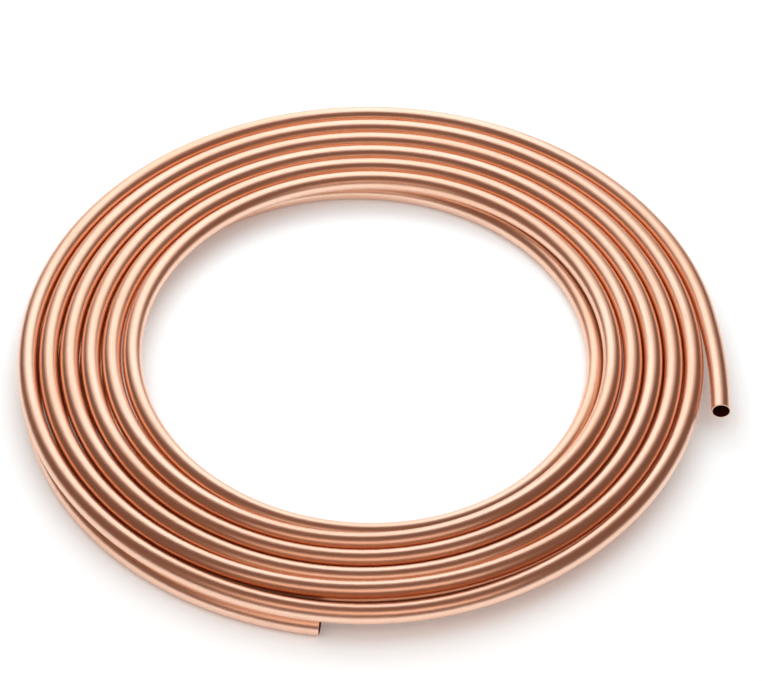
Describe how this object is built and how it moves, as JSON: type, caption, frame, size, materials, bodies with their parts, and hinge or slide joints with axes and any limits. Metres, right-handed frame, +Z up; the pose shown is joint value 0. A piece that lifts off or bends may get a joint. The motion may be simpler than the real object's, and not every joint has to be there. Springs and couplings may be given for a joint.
{
  "type": "coil of flexible copper tube",
  "caption": "Coil of soft copper tube, wound flat in two layers and open at both ends, lying on its side face.",
  "frame": {"origin": "middle of the coil's footprint, on the floor it lies on", "axes": "+Z up, along the coil's axis; +X towards the side where the upper free end leaves the coil; +Y away from the side where the lower free end is"},
  "size_m": [0.579, 0.5776, 0.0356],
  "materials": {
    "copper": "bright drawn soft copper, smooth satin"
  },
  "bodies": {
    "root": {"copper_tube": "copper"}
  },
  "joints": []
}
